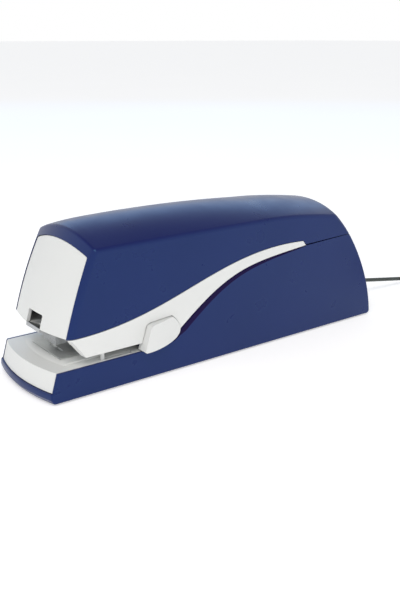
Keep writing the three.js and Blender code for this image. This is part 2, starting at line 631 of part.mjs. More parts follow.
// ---------------------------------------------------------------- cord, coil and wall adapter
const CORD_RADIUS = 1.5;
const COIL = { x: 36, y: 248, inner: 10.4, outer: 23, height: 12.8 };
const ADAPTER = { x: 83, y: 208, z: 6.2 };
const CORD_OUT = [
  [0, 150.3, 13], [0, 155, 12.8], [0, 160, 12.1], [0, 165, 11.3], [0, 173, 10], [0, 182, 8.6],
  [0.2, 194, 6.8], [0.8, 206, 5.1], [2.2, 217, 3.5], [5, 227, 2.3], [8.4, 236, 1.7], [10.9, 242.8, 1.6],
];
const CORD_END = [
  [60.2, 241, 10.2], [61.3, 231, 8.6], [61, 221, 6.6], [59.7, 211, 4.6], [59, 203.2, 3.1], [59, 196.6, 2.2],
  [60.6, 190.6, 1.8], [65, 186.2, 1.65], [71, 184.6, 1.7], [77, 186.2, 2.1], [81.4, 190.6, 3.6],
  [83, 196, 5.6], [83, 199.5, 6.15],
];

/** A round cord through hand-laid points. */
function cord(route, steps) {
  const curve = new THREE.CatmullRomCurve3(route.map((p) => new THREE.Vector3(...p)), false, 'centripetal');
  const section = new THREE.Shape();
  section.absarc(0, 0, CORD_RADIUS, 0, 2 * Math.PI, false);
  return solid(new THREE.ExtrudeGeometry(section, { steps, extrudePath: curve, curveSegments: 4 }));
}

function addCord() {
  const plug = [
    [0, 0], [2.7, 0], [2.7, 7.6], [4.4, 8], [4.4, 17.5], [3.4, 19], [3.2, 21], [2.2, 27.4], [0, 27.4],
  ];
  add('dc_plug', turned(plug, 'y', 16), BLACK, [0, 122.6, DC_Z]);
  add('cord', cord(CORD_OUT, 20), CORD);
  const ring = [
    [COIL.inner, 0.1], [COIL.outer, 0.1], [COIL.outer, COIL.height], [COIL.inner, COIL.height],
    [COIL.inner, 0.1],
  ];
  add('cord_coil', turned(ring, 'z', 32), CORD, [COIL.x, COIL.y, 0]);
  add('cord_end', cord(CORD_END, 14), CORD);

  const { x, y, z } = ADAPTER;
  const outline = [[-16, 0], [16, 0], [18, 2], [18, 48], [16, 50], [-16, 50], [-18, 48], [-18, 2]];
  const casing = plateZ(outline, 0, 26);
  const relief = turned([[0, 0], [2.2, 0], [3.4, 8.4], [0, 8.4]], 'y', 16).translate([0, -8.1, z]);
  add('wall_adapter', casing.add(relief), BLACK, [x, y, 0]);
  for (const [side, offset] of [['left', -9.5], ['right', 9.5]]) {
    const pin = [[0, 0], [2, 0], [2, 17.5], [1.2, 19], [0, 19]];
    add(`adapter_pin_${side}`, turned(pin, 'y', 12), BRASS, [x + offset, y + 50.3, 13]);
  }
}

addHousings();
addPaperTable();
addDrawer();
addReleases();
addDrive();
addElectrics();
addCord();

export default pieces;
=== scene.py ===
# Looks of the electric stapler. Shapes are given in millimetres, as in the CAD model, and turned into
# metres where a mesh or a curve is made. The frame is the CAD model's: +Z is up, the mouth faces -Y, the
# cord leaves at +Y, and x = 0 is the middle plane.
import math

import bmesh
import bpy
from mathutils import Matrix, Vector


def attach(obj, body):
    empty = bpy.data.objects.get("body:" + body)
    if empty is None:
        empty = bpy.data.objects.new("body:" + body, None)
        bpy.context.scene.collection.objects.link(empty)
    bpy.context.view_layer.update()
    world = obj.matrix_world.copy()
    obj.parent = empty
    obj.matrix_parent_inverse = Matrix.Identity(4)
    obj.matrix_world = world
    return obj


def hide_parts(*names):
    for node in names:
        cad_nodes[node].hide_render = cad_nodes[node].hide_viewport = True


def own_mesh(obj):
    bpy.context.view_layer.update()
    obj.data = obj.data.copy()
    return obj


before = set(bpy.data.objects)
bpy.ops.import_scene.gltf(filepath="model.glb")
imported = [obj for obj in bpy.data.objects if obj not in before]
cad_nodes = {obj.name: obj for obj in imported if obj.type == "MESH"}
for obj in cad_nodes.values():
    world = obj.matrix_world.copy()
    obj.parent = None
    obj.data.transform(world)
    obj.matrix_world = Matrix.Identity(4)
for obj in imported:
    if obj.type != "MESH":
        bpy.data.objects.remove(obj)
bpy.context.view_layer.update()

MM = 0.001

# ------------ driving dimensions, as in the CAD model
HALF_WIDTH = 34  # middle plane to a side wall's outside
WALL = 2.2  # moulded housing walls
INNER = HALF_WIDTH - WALL
GAP = 0.4  # joint line between two housings
FLOOR_GAP = 1.2  # the housing's lower edge stands this high on its feet
FAR = 160  # beyond everything of the body

CREASE_Z = 84.1  # edge between side wall and crown
NOSE_Z = 36.4  # lower edge of the blue cover at the nose
NOSE_Y = -115.4  # side corner of the nose at that height
NOSE_LEAN = 0.405  # the front leans back this much for each mm of height
NOSE_SWELL = 1.4  # the leaning front is slightly convex
FRONT_BULGE = 5.4  # the front is this much further out in the middle plane
CROWN_RISE = 10.9  # greatest height of the crown over the crease
CROWN_LEAST = 7.8
CROWN_PEAK_Y = -40
CROWN_HALF_SPAN = 77
BROW_Y, BROW_LENGTH, BROW_DROP = -99, 22, 1.6  # the crown dips towards the nose's upper edge
REAR_BULGE = 1.6  # at the foot of the rear wall
FRONT_ROUND = 3  # how far the front's rounded edges reach in from the side walls
TURN_AT_CHIN, TURN_AT_CROWN = 1.9, 0.8  # depth of those edges, as a share of their reach
REAR_ROUND = 1.2  # radius between rear wall and side walls
CREASE_ROUND = 1.8  # radius between crown and side walls
NOSE_TOP_ROUND = 1.3  # between the leaning front and the crown

PANEL_SET_BACK = 0.5  # of the drawer's front panel, behind the cover around it
PANEL_LOW, PANEL_HIGH, PANEL_SHOULDER = 31.6, 30, 28.4  # half widths below, above and at the arch's ends
PANEL_CORNER_Z, PANEL_SHOULDER_Z, PANEL_ARCH_Z = 79.2, 80.3, 89.9
MOUTH_HALF, MOUTH_TOP = 8.6, 44.5  # the opening that a jam is cleared through
MOUTH_CORNER = 0.8

TABLE_Z = 18.5  # top of the white base plate
HEAD_Z = 23.9  # underside of the head, over the paper slot
THROAT_Y = -64.6  # back wall of the paper slot
DRIVER_Y = -106.2  # plane in which staples are driven
DC_Z = 13  # height of the power inlet
CHIN_BACK_Y = -102  # the hollow under the nose ends here
CHEEK_X = 29  # and on either side here
CHIN_Y = -104.7  # where the band meets the underside of the head
SHELF_FRONT, SHELF_LOW, SHELF_TOP = -112.8, 33.4, 35.6  # of the white band, under the nose
TRAY_BULGE = 5  # the tray's front is this much further out in the middle plane
TRAY_ROUND = 0.9  # radius between the tray's front and its sides
TABLE_BULGE = 1.16  # the bulge at the table's height, as a share of the tray's
REAR_FOOT_Y = 131.5  # the rear wall's lower edge, at the side walls
REAR_FOOT_ROUND = 2.2

# side view of the seams, as (y, z) control points
COVER_EDGE = [(-115.4, 36.4), (-44.2, 35.2), (-13.3, 70.7), (60.1, 66.1)]
BAND_EDGE = [(-38.9, 27.9), (-0.9, 58.2), (14.1, 58.2), (62.9, 62.7)]
BAND_FOOT_Y = -44  # the band's lower edge leaves the underside of the head here, behind the grip
TIP_Y, TIP_Z = BAND_EDGE[3][0], 63.2  # the band's cut end
REAR_SEAM = (104.5, 64.6)
CROWN_END = (91, 78.8)


# ------------ camera
CAMERA_PLACE = (0.39553, -0.29844, 0.19329)  # metres
CAMERA_AZIMUTH = 52.933  # degrees, as the elevation is
CAMERA_ELEVATION = 18.47  # that it looks down by
CAMERA_LENS = 47.16
CAMERA_SENSOR = 36


def add_camera():
    data = bpy.data.cameras.new("camera")
    data.lens = CAMERA_LENS
    data.sensor_width = CAMERA_SENSOR
    camera = bpy.data.objects.new("camera", data)
    camera.location = CAMERA_PLACE
    camera.rotation_euler = (math.radians(90 - CAMERA_ELEVATION), 0, math.radians(CAMERA_AZIMUTH))
    bpy.context.collection.objects.link(camera)
    bpy.context.scene.camera = camera


add_camera()


# ------------ curves
def lerp(a, b, t):
    return a + (b - a) * t


def bezier(points, count):
    """Points along a Bezier curve of any degree and dimension."""
    made = []
    for i in range(count + 1):
        t = i / count
        level = [tuple(p) for p in points]
        while len(level) > 1:
            level = [tuple(lerp(a, b, t) for a, b in zip(p, q)) for p, q in zip(level, level[1:])]
        made.append(level[0])
    return made


def arc(before, corner, after, radius, count):
    """A corner turned into an arc that starts this far from it."""
    before, corner, after = Vector(before), Vector(corner), Vector(after)
    start = corner + (before - corner).normalized() * radius
    end = corner + (after - corner).normalized() * radius
    return bezier([start, corner, end], count)


def rounded(line, index, radius, count=6):
    """The same line with the corner at this index rounded."""
    return line[:index] + arc(*line[index - 1:index + 2], radius, count) + line[index + 1:]


def rounded_outline(corners, radius, count):
    """A closed outline with each of its corners rounded."""
    made = []
    for i, corner in enumerate(corners):
        made += arc(corners[i - 1], corner, corners[(i + 1) % len(corners)], radius, count)
    return made


# ------------ meshes
def mesh_object(name, points, faces):
    mesh = bpy.data.meshes.new(name)
    mesh.from_pydata([Vector(p) * MM for p in points], [], faces)
    work = bmesh.new()
    work.from_mesh(mesh)
    bmesh.ops.remove_doubles(work, verts=work.verts, dist=1e-7)
    bmesh.ops.recalc_face_normals(work, faces=work.faces)
    work.to_mesh(mesh)
    work.free()
    piece = bpy.data.objects.new(name, mesh)
    bpy.context.collection.objects.link(piece)
    return piece


def skin(name, sections, closed=False):
    """A skin over sections with equally many points. With closed, the last section joins the first."""
    count = len(sections[0])
    points = [p for section in sections for p in section]
    faces = []
    for i in range(len(sections) if closed else len(sections) - 1):
        near, far = i * count, ((i + 1) % len(sections)) * count
        faces += [(near + j, far + j, far + (j + 1) % count, near + (j + 1) % count) for j in range(count)]
    if not closed:
        faces.append(tuple(range(count)))
        faces.append(tuple(range(len(points) - count, len(points))))
    return mesh_object(name, points, faces)


def loft(name, stations, section_at):
    """A skin over side views, each given as (y, z) points, at stations across the body."""
    return skin(name, [[(x, y, z) for y, z in section_at(x)] for x in stations])


def prism(name, outline, axis, low, high):
    """An outline pushed along an axis: (y, z) points along x, (x, z) along y, (x, y) along z."""
    place = {
        "x": lambda p, t: (t, p[0], p[1]),
        "y": lambda p, t: (p[0], t, p[1]),
        "z": lambda p, t: (p[0], p[1], t),
    }[axis]
    return skin(name, [[place(p, t) for p in outline] for t in (low, high)])


def block(low, high):
    """A box between two opposite corners."""
    outline = [(low[0], low[1]), (high[0], low[1]), (high[0], high[1]), (low[0], high[1])]
    return prism("block", outline, "z", low[2], high[2])


def turned(name, profile, axis, place, sides=48):
    """A turned piece: its profile is (radius, height), closed or from the axis back to the axis."""
    point = {
        "y": lambda r, h, a: (r * math.sin(a), h, r * math.cos(a)),
        "z": lambda r, h, a: (r * math.cos(a), r * math.sin(a), h),
    }[axis]
    sections = []
    for i in range(sides):
        angle = 2 * math.pi * i / sides
        sections.append([tuple(a + b for a, b in zip(place, point(r, h, angle))) for r, h in profile])
    count = len(profile)
    points = [p for section in sections for p in section]
    faces = []
    for i in range(sides):
        near, far = i * count, ((i + 1) % sides) * count
        faces += [(near + j, far + j, far + j + 1, near + j + 1) for j in range(count - 1)]
    return mesh_object(name, points, faces)


def applied(piece):
    """The piece with its modifiers made part of its mesh."""
    graph = bpy.context.evaluated_depsgraph_get()
    mesh = bpy.data.meshes.new_from_object(piece.evaluated_get(graph))
    piece.modifiers.clear()
    piece.data = mesh
    return piece


def carve(piece, tool, operation="DIFFERENCE"):
    """The piece without what a tool covers, or as the operation says. The tool is used up."""
    modifier = piece.modifiers.new("carve", "BOOLEAN")
    modifier.object = tool
    modifier.operation = operation
    modifier.solver = "MANIFOLD"
    bpy.context.view_layer.update()
    applied(piece)
    bpy.data.objects.remove(tool)
    return piece


def join(piece, tool):
    return carve(piece, tool, "UNION")


def keep(piece, tool):
    return carve(piece, tool, "INTERSECT")


def copy_of(piece, mirror=False):
    made = bpy.data.objects.new(piece.name, piece.data.copy())
    bpy.context.collection.objects.link(made)
    if mirror:
        for vertex in made.data.vertices:
            vertex.co.x = -vertex.co.x
        made.data.flip_normals()
    return made


def carve_both_sides(piece, tool):
    """The piece without what the tool and its mirror image cover."""
    other = copy_of(tool, mirror=True)
    return carve(carve(piece, tool), other)


SHARP_ANGLE = math.radians(32)  # edges sharper than this are bevelled and stay sharp


def dress(piece, body, material, stands_for=None, bevel=0.3):
    """Softens edges, shades smoothly, gives the piece its material and its body, and hides the CAD nodes it
    stands for.
    """
    piece.data.shade_smooth()
    piece.data.set_sharp_from_angle(angle=SHARP_ANGLE)
    if bevel:
        edge = piece.modifiers.new("soft edges", "BEVEL")
        edge.width = bevel * MM
        edge.segments = 2
        edge.limit_method = "ANGLE"
        edge.angle_limit = SHARP_ANGLE
        edge.use_clamp_overlap = True
    normals = piece.modifiers.new("flat faces stay flat", "WEIGHTED_NORMAL")
    normals.keep_sharp = True
    piece.data.materials.clear()
    piece.data.materials.append(material)
    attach(piece, body)
    if stands_for:
        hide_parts(*stands_for)
    return piece


# ------------ materials
NOISE_LOW, NOISE_HIGH = 0.3, 0.7  # most of a noise texture's values lie between these


class Nodes:
    """A material's node tree, with short ways to add to it."""

    def __init__(self, name, roughness, metallic=0.0):
        self.material = bpy.data.materials.new(name)
        self.material.use_nodes = True
        self.tree = self.material.node_tree
        self.shader = self.tree.nodes["Principled BSDF"]
        self.shader.inputs["Metallic"].default_value = metallic
        self.shader.inputs["Roughness"].default_value = roughness
        self.place = self.add("ShaderNodeTexCoord").outputs["Object"]

    def add(self, kind, **inputs):
        node = self.tree.nodes.new(kind)
        for name, value in inputs.items():
            socket = node.inputs[name.replace("_", " ")]
            if isinstance(value, bpy.types.NodeSocket):
                self.tree.links.new(value, socket)
            else:
                socket.default_value = value
        return node

    def link(self, output, name):
        self.tree.links.new(output, self.shader.inputs[name])

    def noise(self, scale, detail=3.0, stretch=(1, 1, 1)):
        mapping = self.add("ShaderNodeMapping", Vector=self.place, Scale=stretch)
        texture = self.add("ShaderNodeTexNoise", Vector=mapping.outputs[0], Scale=scale, Detail=detail)
        return texture.outputs["Fac"]

    def between(self, fac, low, high):
        """A noise turned into numbers from low to high."""
        limits = {"From_Min": NOISE_LOW, "From_Max": NOISE_HIGH, "To_Min": low, "To_Max": high}
        return self.add("ShaderNodeMapRange", Value=fac, **limits).outputs[0]

    def tint(self, fac, dark, light):
        """A colour between two, by a noise."""
        ramp = self.add("ShaderNodeValToRGB", Fac=fac)
        for stop, place, color in zip(ramp.color_ramp.elements, (NOISE_LOW, NOISE_HIGH), (dark, light)):
            stop.position = place
            stop.color = (*color, 1)
        return ramp.outputs["Color"]

    def bump(self, height, strength, distance):
        node = self.add("ShaderNodeBump", Height=height, Strength=strength, Distance=distance)
        self.link(node.outputs["Normal"], "Normal")


def shade(color, factor):
    return tuple(min(1.0, c * factor) for c in color)


GRAIN_SCALE = 1400
GRAIN_DEPTH = 0.00006  # metres, as are the depths below
BRUSHED_DEPTH = 0.00005
SOFT_DEPTH = 0.0001
BRUSHING = {"x": (0.04, 1, 1), "y": (1, 0.04, 1)}  # stretches noise into lines along an axis


def moulded(name, color, roughness, grain=0.12, spread=0.04, specular=0.5, gloss=(1, 1, 1)):
    """Satin moulded plastic with a fine grain, its colour and roughness drifting a little.

    grain is the bump's strength, spread how far the colour drifts, specular how much the surface
    mirrors, and gloss the tint of what it mirrors.
    """
    made = Nodes(name, roughness)
    made.shader.inputs["Specular IOR Level"].default_value = specular
    made.shader.inputs["Specular Tint"].default_value = (*gloss, 1)
    drift = made.noise(18)
    made.link(made.tint(drift, shade(color, 1 - spread), shade(color, 1 + spread)), "Base Color")
    made.link(made.between(made.noise(60, 6), roughness - 0.04, roughness + 0.05), "Roughness")
    made.bump(made.noise(GRAIN_SCALE, 2), grain, GRAIN_DEPTH)
    return made.material


def metal(name, color, roughness, along="y"):
    """Rolled or brushed metal, its fine lines running along an axis."""
    made = Nodes(name, roughness, 1.0)
    lines = made.noise(2600, 4, BRUSHING[along])
    made.link(made.tint(made.noise(45), shade(color, 0.86), shade(color, 1.1)), "Base Color")
    made.link(made.between(lines, roughness - 0.08, roughness + 0.12), "Roughness")
    made.bump(lines, 0.25, BRUSHED_DEPTH)
    return made.material


def rubber(name, color, roughness=0.75, scale=900):
    made = Nodes(name, roughness)
    made.link(made.tint(made.noise(120), shade(color, 0.8), shade(color, 1.25)), "Base Color")
    made.link(made.between(made.noise(300), roughness - 0.08, roughness + 0.1), "Roughness")
    made.bump(made.noise(scale, 3), 0.3, SOFT_DEPTH)
    return made.material


def circuit():
    """Green solder resist over copper tracks, drawn by a cell pattern."""
    made = Nodes("board", 0.35)
    cells = made.add("ShaderNodeTexVoronoi", Vector=made.place, Scale=240.0)
    cells.distance = "CHEBYCHEV"
    distance = cells.outputs["Distance"]
    made.link(made.tint(distance, (0.05, 0.2, 0.07), (0.015, 0.08, 0.03)), "Base Color")
    made.link(made.between(made.noise(80), 0.28, 0.42), "Roughness")
    made.bump(distance, 0.3, SOFT_DEPTH)
    return made.material


BLUE = moulded("blue plastic", (0.012, 0.014, 0.1), 0.3, grain=0.05, specular=0.42, gloss=(0.3, 0.75, 1))
# a darker, duller copy of the blue plastic: painted shade for the hollow under the white band
SHADED_BLUE = moulded("blue painted shade", (0.012, 0.006, 0.05), 0.6, specular=0.1)
WHITE = moulded("white plastic", (0.735, 0.743, 0.728), 0.42, spread=0.015, specular=0.3)
BLACK = moulded("black plastic", (0.016, 0.016, 0.018), 0.5, grain=0.3)
NYLON = moulded("nylon", (0.62, 0.58, 0.46), 0.4, spread=0.07)
STEEL = metal("steel", (0.46, 0.47, 0.48), 0.32)
ANVIL_STEEL = metal("anvil steel", (0.8, 0.81, 0.8), 0.5, along="x")
DARK_STEEL = metal("dark steel", (0.2, 0.205, 0.21), 0.42)
BRASS = metal("brass", (0.6, 0.45, 0.18), 0.3, along="x")
RUBBER = rubber("rubber", (0.022, 0.022, 0.024))
CORD = rubber("cord", (0.045, 0.055, 0.05), 0.5, 500)
BOARD = circuit()

# ------------ cord, coil, tie and wall adapter
CORD_RADIUS = 1.5
COIL_X, COIL_Y = 36, 248
COIL_OUTER = 21.4
COIL_STEP = 3.13  # from one turn to the next one beside it
LAYER_STEP = 3.15
LAYER_LOWEST = 1.65
COIL_TURNS = 4  # beside each other in each layer
COIL_LAYERS = 4
COIL_START, COIL_END = 0.25, 57.75  # in quarter turns
TIE_LOW = 0.55
TIE_INWARDS, TIE_OUTWARDS = 1.6, 1.55  # from the wire's middle line to the tie
TIE_WIDTH, TIE_THICKNESS, TIE_ROUND = 7, 0.5, 1.6
TIE_DIRECTION = math.radians(-100)  # seen from above, from the coil's middle
CORD_OUT = [
    (0, 150.0, 13), (0, 155, 12.8), (0, 160, 12.1), (0, 165, 11.3), (0, 173, 10), (0, 182, 8.6),
    (0.2, 194, 6.8), (0.8, 206, 5.1), (2.2, 217, 3.5), (5, 227, 2.3), (8.4, 236, 1.7), (10.9, 242.8, 1.6),
]
CORD_END = [
    (60.2, 241, 10.2), (61.3, 231, 8.6), (61, 221, 6.6), (59.7, 211, 4.6), (59, 203.2, 3.1),
    (59, 196.6, 2.2), (60.6, 190.6, 1.8), (65, 186.2, 1.65), (71, 184.6, 1.7), (77, 186.2, 2.1),
    (81.4, 190.6, 3.6), (83, 196, 5.6), (83, 199.8, 6.2),
]
PLUG_Y = 122.6  # the plug's tip
PLUG_PROFILE = [
    (0, 0), (2.4, 0), (2.7, 0.3), (2.7, 7.6), (4.0, 7.8), (4.4, 8.3), (4.4, 17.3), (4.0, 18.2), (3.4, 19),
    (3.2, 21), (2.2, 27.0), (1.9, 27.4), (0, 27.4),
]
RIBS, FIRST_RIB_Y, RIB_STEP = 5, 133.4, 1.7  # on the plug's grip
ADAPTER_X, ADAPTER_Y = 83, 208  # middle of the side that the lead enters
ADAPTER_HALF, ADAPTER_DEPTH, ADAPTER_HEIGHT = 18, 50, 26
ADAPTER_CORNER = 3.2
ADAPTER_EXIT_Z = 6.2
SEAM_LOW, SEAM_HIGH = 12.8, 13.2
RELIEF_PROFILE = [(0, 0), (1.9, 0), (2.2, 0.3), (3.4, 8.4), (0, 8.4)]
VENTS, VENT_STEP, VENT_WIDTH, VENT_DEPTH = 4, 6, 2.2, 0.6
PIN_X, PIN_Z = 9.5, 13
PIN_PROFILE = [(0, 0), (2, 0), (2, 17.2), (1.7, 18.3), (1.0, 19), (0, 19)]
SLEEVE_PROFILE = [(1.9, 0), (2.12, 0), (2.12, 9.5), (1.9, 9.5)]


def coil_steps():
    """Where the winding moves to the turn beside it or up a layer: (start in quarter turns, out, up)."""
    steps = []
    start = 3
    for layer in range(COIL_LAYERS):
        inwards = -COIL_STEP if layer % 2 == 0 else COIL_STEP
        for _ in range(COIL_TURNS - 1):
            steps.append((start, inwards, 0))
            start += 4
        steps.append((start - 1, 0, LAYER_STEP))
        start += 2
    return steps[:-1]


def coil_points():
    """A neat round coil, clockwise from above, wound inwards and outwards layer by layer."""
    points = []
    steps = coil_steps()
    per_quarter = 4
    for i in range(int((COIL_END - COIL_START) * per_quarter) + 1):
        quarter = COIL_START + i / per_quarter
        radius, z = COIL_OUTER, LAYER_LOWEST
        for start, dr, dz in steps:
            share = min(1, max(0, quarter - start))
            share = share * share * (3 - 2 * share)  # gently in and out
            radius += dr * share
            z += dz * share
        angle = math.pi - quarter * math.pi / 2
        points.append((COIL_X + radius * math.cos(angle), COIL_Y + radius * math.sin(angle), z))
    return points


def tube(name, points, radius, resolution=4, sides=4):
    data = bpy.data.curves.new(name, "CURVE")
    data.dimensions = "3D"
    data.bevel_depth = radius * MM
    data.bevel_resolution = sides
    data.resolution_u = resolution
    data.use_fill_caps = True
    line = data.splines.new("BEZIER")
    line.bezier_points.add(len(points) - 1)
    for knot, p in zip(line.bezier_points, points):
        knot.co = Vector(p) * MM
        knot.handle_left_type = knot.handle_right_type = "AUTO"
    piece = bpy.data.objects.new(name, data)
    bpy.context.collection.objects.link(piece)
    return piece


def strap_loop(name, outline, center, width, thickness, direction):
    """A closed band of this width around an outline of (out, z) points, out along a direction in plan."""
    along = Vector((math.cos(direction), math.sin(direction), 0))
    side = Vector((-along.y, along.x, 0))
    middle = Vector((sum(u for u, _ in outline) / len(outline), sum(v for _, v in outline) / len(outline)))
    sections = []
    for u, v in outline:
        outwards = (Vector((u, v)) - middle).normalized() * thickness
        inner = Vector(center) + along * u + Vector((0, 0, v))
        outer = inner + along * outwards.x + Vector((0, 0, outwards.y))
        half = side * width / 2
        sections.append([inner - half, inner + half, outer + half, outer - half])
    return skin(name, sections, closed=True)


def coil_tie():
    """The band that holds the coil's turns together."""
    inner = COIL_OUTER - COIL_STEP * (COIL_TURNS - 1) - TIE_INWARDS
    outer = COIL_OUTER + TIE_OUTWARDS
    high = LAYER_LOWEST + LAYER_STEP * (COIL_LAYERS - 1) + TIE_OUTWARDS
    corners = [(inner, TIE_LOW), (outer, TIE_LOW), (outer, high), (inner, high)]
    outline = rounded_outline(corners, TIE_ROUND, 5)
    return strap_loop("cord_tie", outline, (COIL_X, COIL_Y, 0), TIE_WIDTH, TIE_THICKNESS, TIE_DIRECTION)


def add_cord():
    lead = tube("power_lead", CORD_OUT + coil_points() + CORD_END, CORD_RADIUS)
    lead.data.materials.append(CORD)
    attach(lead, "housing")
    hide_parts("cord", "cord_coil", "cord_end")
    tie = coil_tie()
    dress(tie, "housing", RUBBER, bevel=0.15)
    plug = turned("barrel_plug", PLUG_PROFILE, "y", (0, PLUG_Y, DC_Z), 40)
    for i in range(RIBS):
        plug = join(plug, turned("rib", ring(4.3, 0.35), "y", (0, FIRST_RIB_Y + i * RIB_STEP, DC_Z), 40))
    dress(plug, "housing", BLACK, ["dc_plug"], 0.2)
    adapter = add_adapter()


def ring(radius, bead):
    """Profile of a thin bead round a turned piece, closed on the axis."""
    return [(0, -bead), (radius, -bead), (radius + bead, 0), (radius, bead), (0, bead)]


def adapter_casing():
    """A rounded block with a seam round its middle, four vents on top and the lead's relief."""
    low, high = (-ADAPTER_HALF, 0), (ADAPTER_HALF, ADAPTER_DEPTH)
    shape = rounded_outline([low, (high[0], low[1]), high, (low[0], high[1])], ADAPTER_CORNER, 6)
    middle = ADAPTER_DEPTH / 2
    outline = [(ADAPTER_X + x, ADAPTER_Y + y) for x, y in shape]
    within = [(ADAPTER_X + x * 0.975, ADAPTER_Y + middle + (y - middle) * 0.99) for x, y in shape]
    seam = carve(prism("seam", outline, "z", SEAM_LOW, SEAM_HIGH),
                 prism("seam inside", within, "z", SEAM_LOW - 0.8, SEAM_HIGH + 0.8))
    casing = carve(prism("adapter_casing", outline, "z", 0.02, ADAPTER_HEIGHT), seam)
    for i in range(VENTS):
        x = ADAPTER_X - 9 + i * VENT_STEP
        low = (x, ADAPTER_Y + 14, ADAPTER_HEIGHT - VENT_DEPTH)
        high = (x + VENT_WIDTH, ADAPTER_Y + 36, ADAPTER_HEIGHT + 1)
        casing = carve(casing, block(low, high))
    relief = turned("relief", RELIEF_PROFILE, "y", (ADAPTER_X, ADAPTER_Y - 8.1, ADAPTER_EXIT_Z), 32)
    return join(casing, relief)


def add_adapter():
    casing = adapter_casing()
    dress(casing, "housing", BLACK, ["wall_adapter"], 0.5)
    made = [casing]
    for side, offset in (("left", -PIN_X), ("right", PIN_X)):
        place = (ADAPTER_X + offset, ADAPTER_Y + ADAPTER_DEPTH + 0.3, PIN_Z)
        pin = turned(f"mains_pin_{side}", PIN_PROFILE, "y", place, 32)
        sleeve = turned(f"pin_sleeve_{side}", SLEEVE_PROFILE, "y", place, 32)
        dress(pin, "housing", BRASS, [f"adapter_pin_{side}"], 0)
        dress(sleeve, "housing", BLACK, None, 0)
        made += [pin, sleeve]
    return made


add_cord()


# ------------ the body's outer surface
def swell(x):
    """1 in the middle plane and 0 at the side walls."""
    return 1 - (x / HALF_WIDTH) ** 2


def rounding(x, radius):
    """How far an edge of this radius has turned inwards at x."""
    past = max(0, abs(x) - (HALF_WIDTH - radius))
    return radius - math.sqrt(max(0, radius**2 - past**2))


def nose_y(z):
    """The front's line at the side walls: it leans back and is slightly convex."""
    middle = (NOSE_Z + CREASE_Z) / 2
    half = (CREASE_Z - NOSE_Z) / 2
    return NOSE_Y + NOSE_LEAN * (z - NOSE_Z) - NOSE_SWELL * (1 - ((z - middle) / half) ** 2)


def front_turn(x, z):
    """How far the front's edge has turned back at x, deeper at the chin than at the crown."""
    share = min(1, max(0, (z - NOSE_Z) / (CREASE_Z - NOSE_Z)))
    return rounding(x, FRONT_ROUND) * lerp(TURN_AT_CHIN, TURN_AT_CROWN, share)


def crown_rise(y):
    """Height of the crown over the crease, in the middle plane."""
    fall = (CROWN_RISE - CROWN_LEAST) * ((y - CROWN_PEAK_Y) / CROWN_HALF_SPAN) ** 2
    dip = BROW_DROP * max(0, 1 - (y - BROW_Y) / BROW_LENGTH) ** 2
    return max(CROWN_LEAST, CROWN_RISE - fall) - dip


NOSE_RISE = crown_rise(BROW_Y)


def spine():
    """The crease, from the nose to the back and down the rear wall: (y, z, normal y, normal z)."""
    level = [(y, CREASE_Z) for y in (-92, -90, -88, -86, *range(-84, 32, 4))]
    fall = bezier([(32, CREASE_Z), (52, CREASE_Z), (75, 81.2), CROWN_END], 20)
    rear = bezier([CROWN_END, (112, 60.5), (130.6, 26), (131.6, -2)], 44)
    line = level + fall[:-1] + rear
    line = rounded(line, len(level) + len(fall) - 1, 1.6)
    made = []
    for i, (y, z) in enumerate(line):
        y0, z0 = line[max(0, i - 1)]
        y1, z1 = line[min(len(line) - 1, i + 1)]
        length = math.hypot(y1 - y0, z1 - z0)
        made.append((y, z, -(z1 - z0) / length, (y1 - y0) / length))
    return made


SPINE = spine()


def body_section(x, inset):
    """Side view of the body at x, drawn in by a wall's thickness for its inside."""
    bulge = swell(x)
    crown = CREASE_Z + NOSE_RISE * bulge - inset - rounding(x, CREASE_ROUND)
    steps = 22
    front = []
    for i in range(steps + 1):
        z = HEAD_Z + (crown - HEAD_Z) * i / steps
        front.append((nose_y(z) - FRONT_BULGE * bulge + inset + front_turn(x, z), z))
    rest = []
    for y, z, ny, nz in SPINE:
        down = min(1, max(0, (CROWN_END[1] - z) / 14))
        at_rear = REAR_BULGE + (CROWN_LEAST - REAR_BULGE) * z / CROWN_END[1]
        rise = crown_rise(y) if z > CROWN_END[1] else at_rear
        out = rise * bulge - inset - rounding(x, lerp(CREASE_ROUND, REAR_ROUND, down))
        rest.append((y + ny * out, z + nz * out))
    throat = THROAT_Y + inset
    line = front + rest + [(REAR_SEAM[0], -2), (throat, -2), (throat, HEAD_Z)]
    trimmed = [p for p in line[:steps] if p[1] < crown - NOSE_TOP_ROUND] + line[steps:]
    fixed = steps - (len(line) - len(trimmed))
    return rounded(trimmed, fixed, NOSE_TOP_ROUND, 8)


def across(half):
    """Stations across the body, close together over the last few millimetres, where the edges turn."""
    edge, flat_steps, turn_steps = 4.2, 16, 12
    flat = [(half - edge) * i / flat_steps for i in range(1, flat_steps)]
    turns = [1 - math.sin(math.pi / 2 * i / turn_steps) for i in range(turn_steps + 1)]
    right = flat + [half - edge * turn for turn in turns]
    return [-x for x in reversed(right)] + [0] + right


def body(inset):
    """The head and rear as one solid, drawn in by this much."""
    half = HALF_WIDTH - inset
    return loft("body", across(half), lambda x: body_section(x * HALF_WIDTH / half, inset))


def shell():
    return carve(body(0), body(WALL))


def raised(line, dz):
    return [(y, z + dz) for y, z in line]


